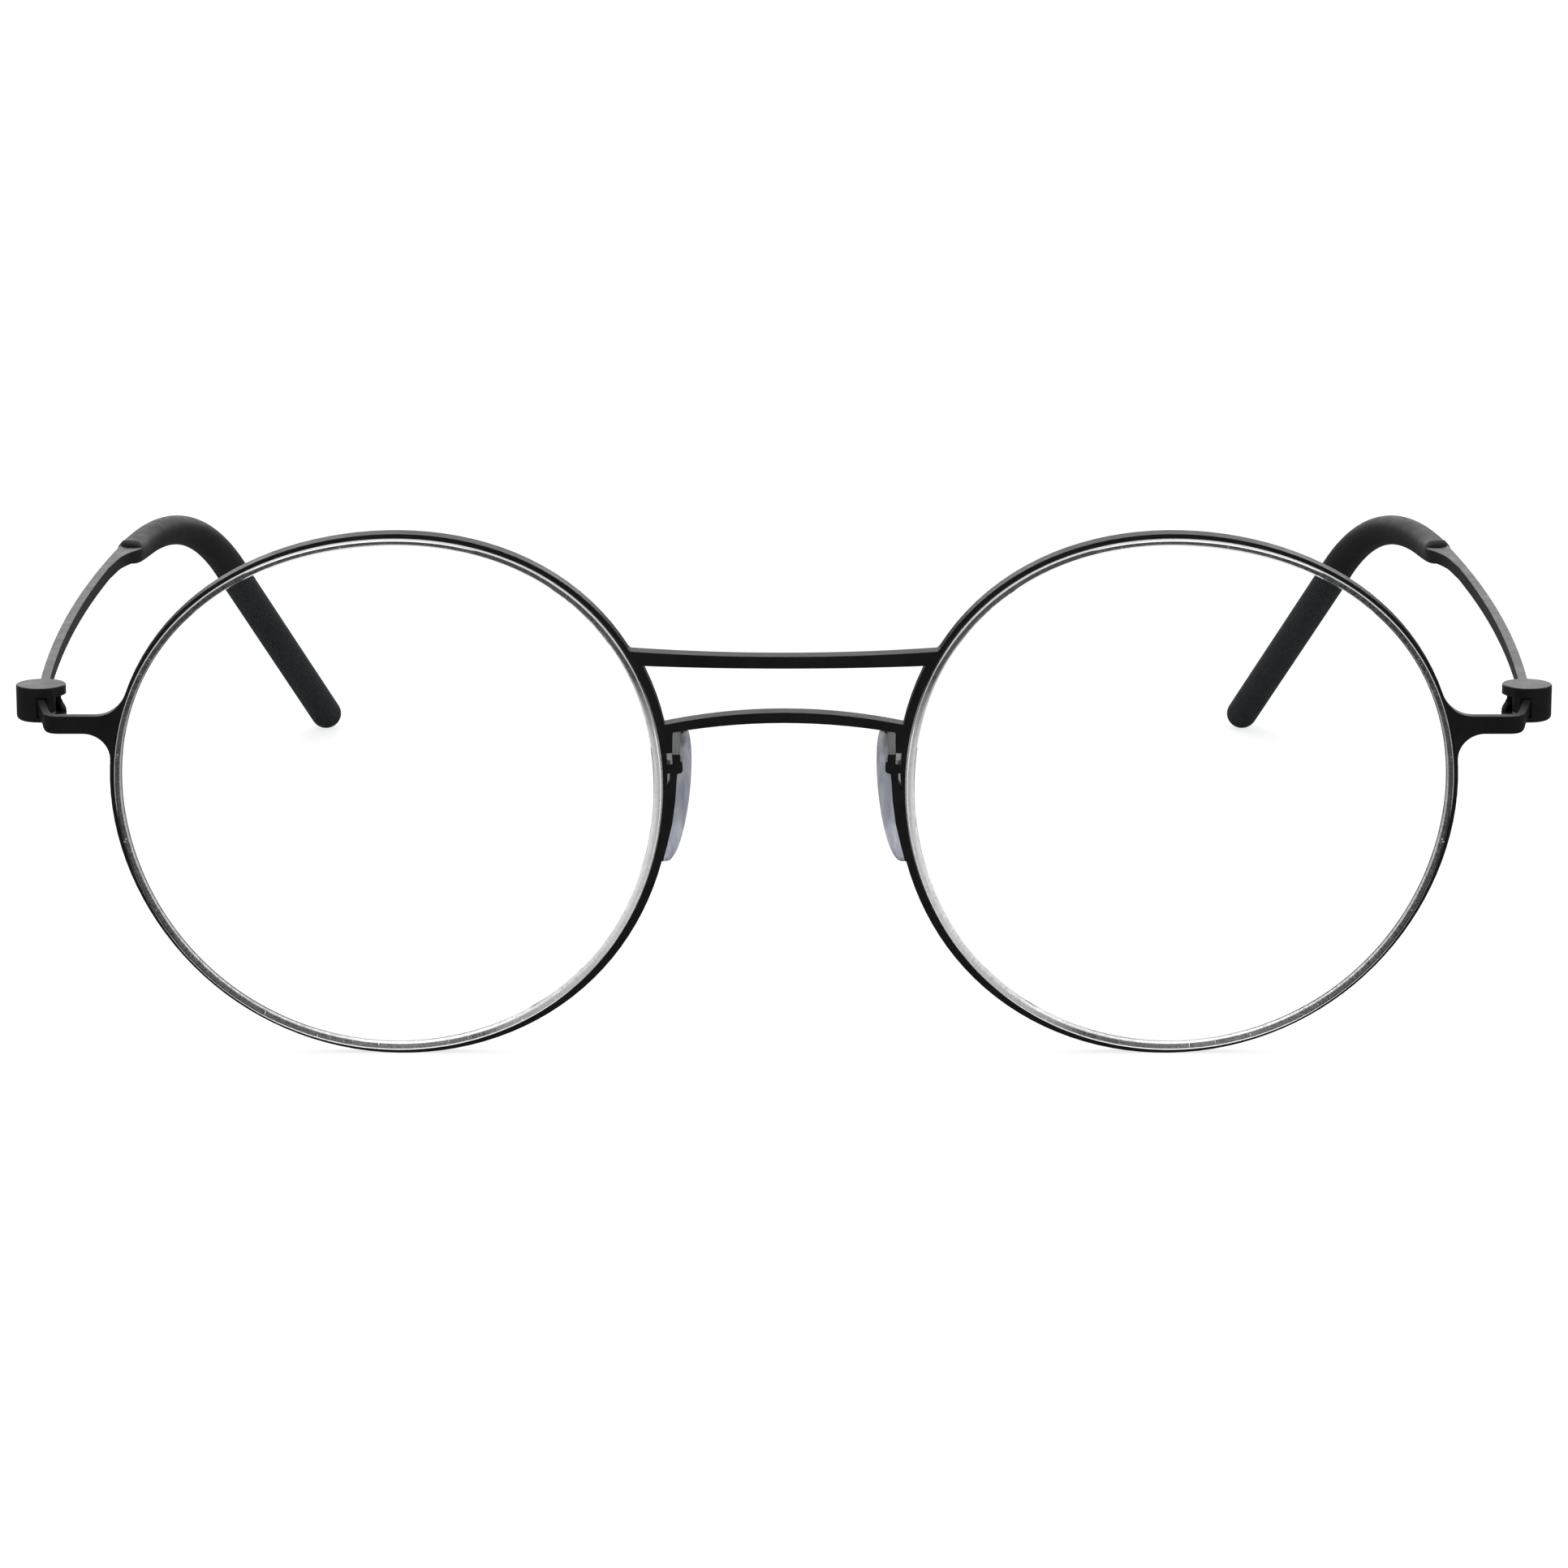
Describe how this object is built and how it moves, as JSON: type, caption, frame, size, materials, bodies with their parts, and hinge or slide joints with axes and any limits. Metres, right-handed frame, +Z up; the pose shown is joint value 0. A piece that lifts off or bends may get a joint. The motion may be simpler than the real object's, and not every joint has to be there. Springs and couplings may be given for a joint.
{
  "type": "round eyeglasses",
  "caption": "Round metal eyeglasses with a double bridge, clear lenses, drum hinges, clear nose pads and rubber ear sleeves.",
  "frame": {"origin": "middle of the bounding box at the plane that the rims and ear tips stand on", "axes": "+Z up, the front looks towards -Y and the temples run back along +Y; the wearer's right is at -X"},
  "size_m": [0.141, 0.1258, 0.0506],
  "materials": {
    "black_metal": "fine satin black coating",
    "clear_lens": "polished faces and a frosted ground edge",
    "clear_silicone": "clear, slightly violet",
    "clear_nylon": "clear",
    "pin_steel": "turned",
    "black_rubber": "matt"
  },
  "bodies": {
    "front": {"front_frame": "black_metal", "right_lens": "clear_lens", "left_lens": "clear_lens", "right_nose_pad": "clear_silicone", "left_nose_pad": "clear_silicone", "right_pad_insert": "clear_nylon", "left_pad_insert": "clear_nylon", "right_hinge_bush": "clear_nylon", "left_hinge_bush": "clear_nylon"},
    "right_side": {"right_temple": "black_metal", "right_hinge_plate": "black_metal", "right_hinge_pin": "pin_steel", "right_upper_washer": "clear_nylon", "right_lower_washer": "clear_nylon", "right_ear_sleeve": "black_rubber"},
    "left_side": {"left_temple": "black_metal", "left_hinge_plate": "black_metal", "left_hinge_pin": "pin_steel", "left_upper_washer": "clear_nylon", "left_lower_washer": "clear_nylon", "left_ear_sleeve": "black_rubber"}
  },
  "joints": [
    {"name": "right_fold", "type": "hinge", "parent": "front", "child": "right_side", "pos_m": [-0.06825, -0.05337, 0.03284], "axis": [0, -0.0376, -0.9993], "range_deg": [0, 80]},
    {"name": "left_fold", "type": "hinge", "parent": "front", "child": "left_side", "pos_m": [0.06825, -0.05337, 0.03284], "axis": [0, 0.0376, 0.9993], "range_deg": [0, 74]}
  ]
}
